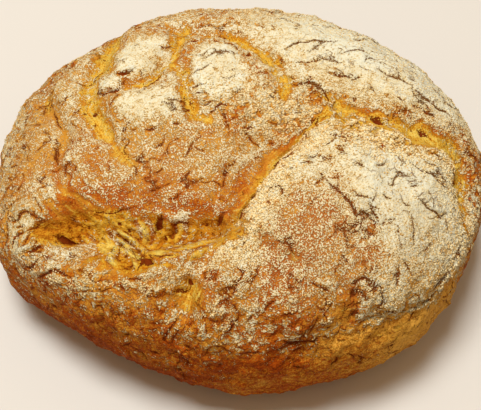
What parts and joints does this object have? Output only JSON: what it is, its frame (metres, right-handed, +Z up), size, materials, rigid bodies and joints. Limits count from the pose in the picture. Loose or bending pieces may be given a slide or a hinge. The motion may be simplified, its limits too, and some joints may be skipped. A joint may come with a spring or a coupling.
{
  "type": "spelt bread loaf",
  "caption": "Round rustic spelt loaf with a flat base, a floury crust, a thick fold across the top and a long tear along the front where the crumb shows.",
  "frame": {"origin": "middle of the flat base the loaf rests on", "axes": "+Z up, +X along the loaf's longer side to the right, the torn front towards -Y"},
  "size_m": [0.2554, 0.2256, 0.098],
  "materials": {
    "crust": "matte floury bread crust, golden where it has split"
  },
  "bodies": {
    "root": {"loaf": "crust"}
  },
  "joints": []
}
